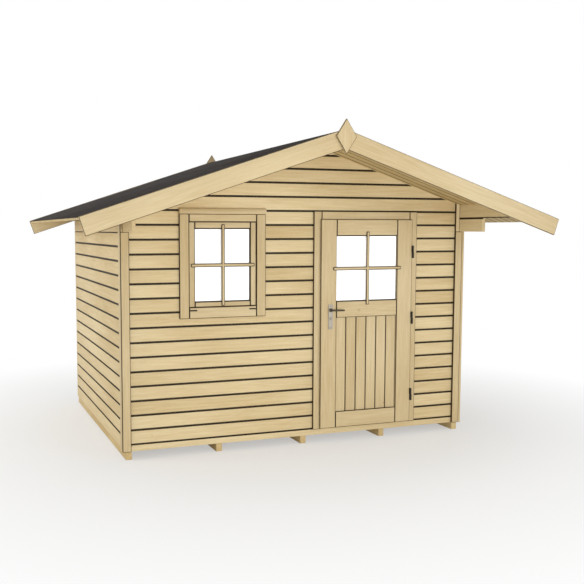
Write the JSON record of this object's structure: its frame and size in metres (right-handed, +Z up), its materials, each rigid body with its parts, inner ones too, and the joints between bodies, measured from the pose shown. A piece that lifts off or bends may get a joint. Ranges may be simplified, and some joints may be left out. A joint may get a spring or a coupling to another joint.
{
  "type": "garden shed",
  "caption": "Wooden log-board garden shed with a low gable roof, deep front overhang, glazed side window and a half-glazed door that swings outwards.",
  "frame": {"origin": "on the ground under the middle of the roof", "axes": "+Z up, the door side faces -Y, the ridge runs along Y, the door is hinged on its +X edge"},
  "size_m": [3.944, 3.28, 2.6247],
  "materials": {
    "wall_boards": "matte",
    "floor_boards": "matte",
    "roof_boards": "matte",
    "trim_boards": "matte",
    "door_wood": "matte",
    "roofing_felt": "matte",
    "opal_glass": "satin",
    "dark_iron": "satin",
    "handle_metal": "satin"
  },
  "bodies": {
    "shed": {"floor_skids": "wall_boards", "floor_deck": "floor_boards", "wall_left": "wall_boards", "wall_right": "wall_boards", "wall_rear": "wall_boards", "front_wall_left": "wall_boards", "front_wall_sill": "wall_boards", "front_wall_lintel": "wall_boards", "front_wall_mid": "wall_boards", "front_wall_right": "wall_boards", "front_gable": "wall_boards", "corbel_left": "wall_boards", "corbel_right": "wall_boards", "eave_log_left": "wall_boards", "eave_log_right": "wall_boards", "ridge_beam": "roof_boards", "roof_deck_left": "roof_boards", "roof_deck_right": "roof_boards", "trim_front_left": "trim_boards", "trim_front_right": "trim_boards", "trim_rear_left": "trim_boards", "trim_rear_right": "trim_boards", "barge_front_left": "trim_boards", "barge_front_right": "trim_boards", "barge_rear_left": "trim_boards", "barge_rear_right": "trim_boards", "diamond_front": "trim_boards", "diamond_rear": "trim_boards", "door_jamb_left": "trim_boards", "door_jamb_right": "trim_boards", "door_head": "trim_boards", "door_threshold": "trim_boards", "window_sides": "trim_boards", "window_boards": "trim_boards", "window_cap": "trim_boards", "sash_stiles": "trim_boards", "sash_rails": "trim_boards", "window_bars": "trim_boards", "roof_felt_left": "roofing_felt", "roof_felt_right": "roofing_felt", "window_glass": "opal_glass", "window_hinges": "dark_iron", "frame_hinges": "dark_iron"},
    "door": {"door_stiles": "door_wood", "door_rails": "door_wood", "door_panel": "door_wood", "door_bars": "door_wood", "door_glass": "opal_glass", "door_hinges": "dark_iron", "handle_plate": "handle_metal", "handle_lever": "handle_metal"}
  },
  "joints": [
    {"name": "door_hinge", "type": "hinge", "parent": "shed", "child": "door", "pos_m": [1.0105, -0.92922, 1], "axis": [0, 0, 1], "range_deg": [0, 115]}
  ]
}
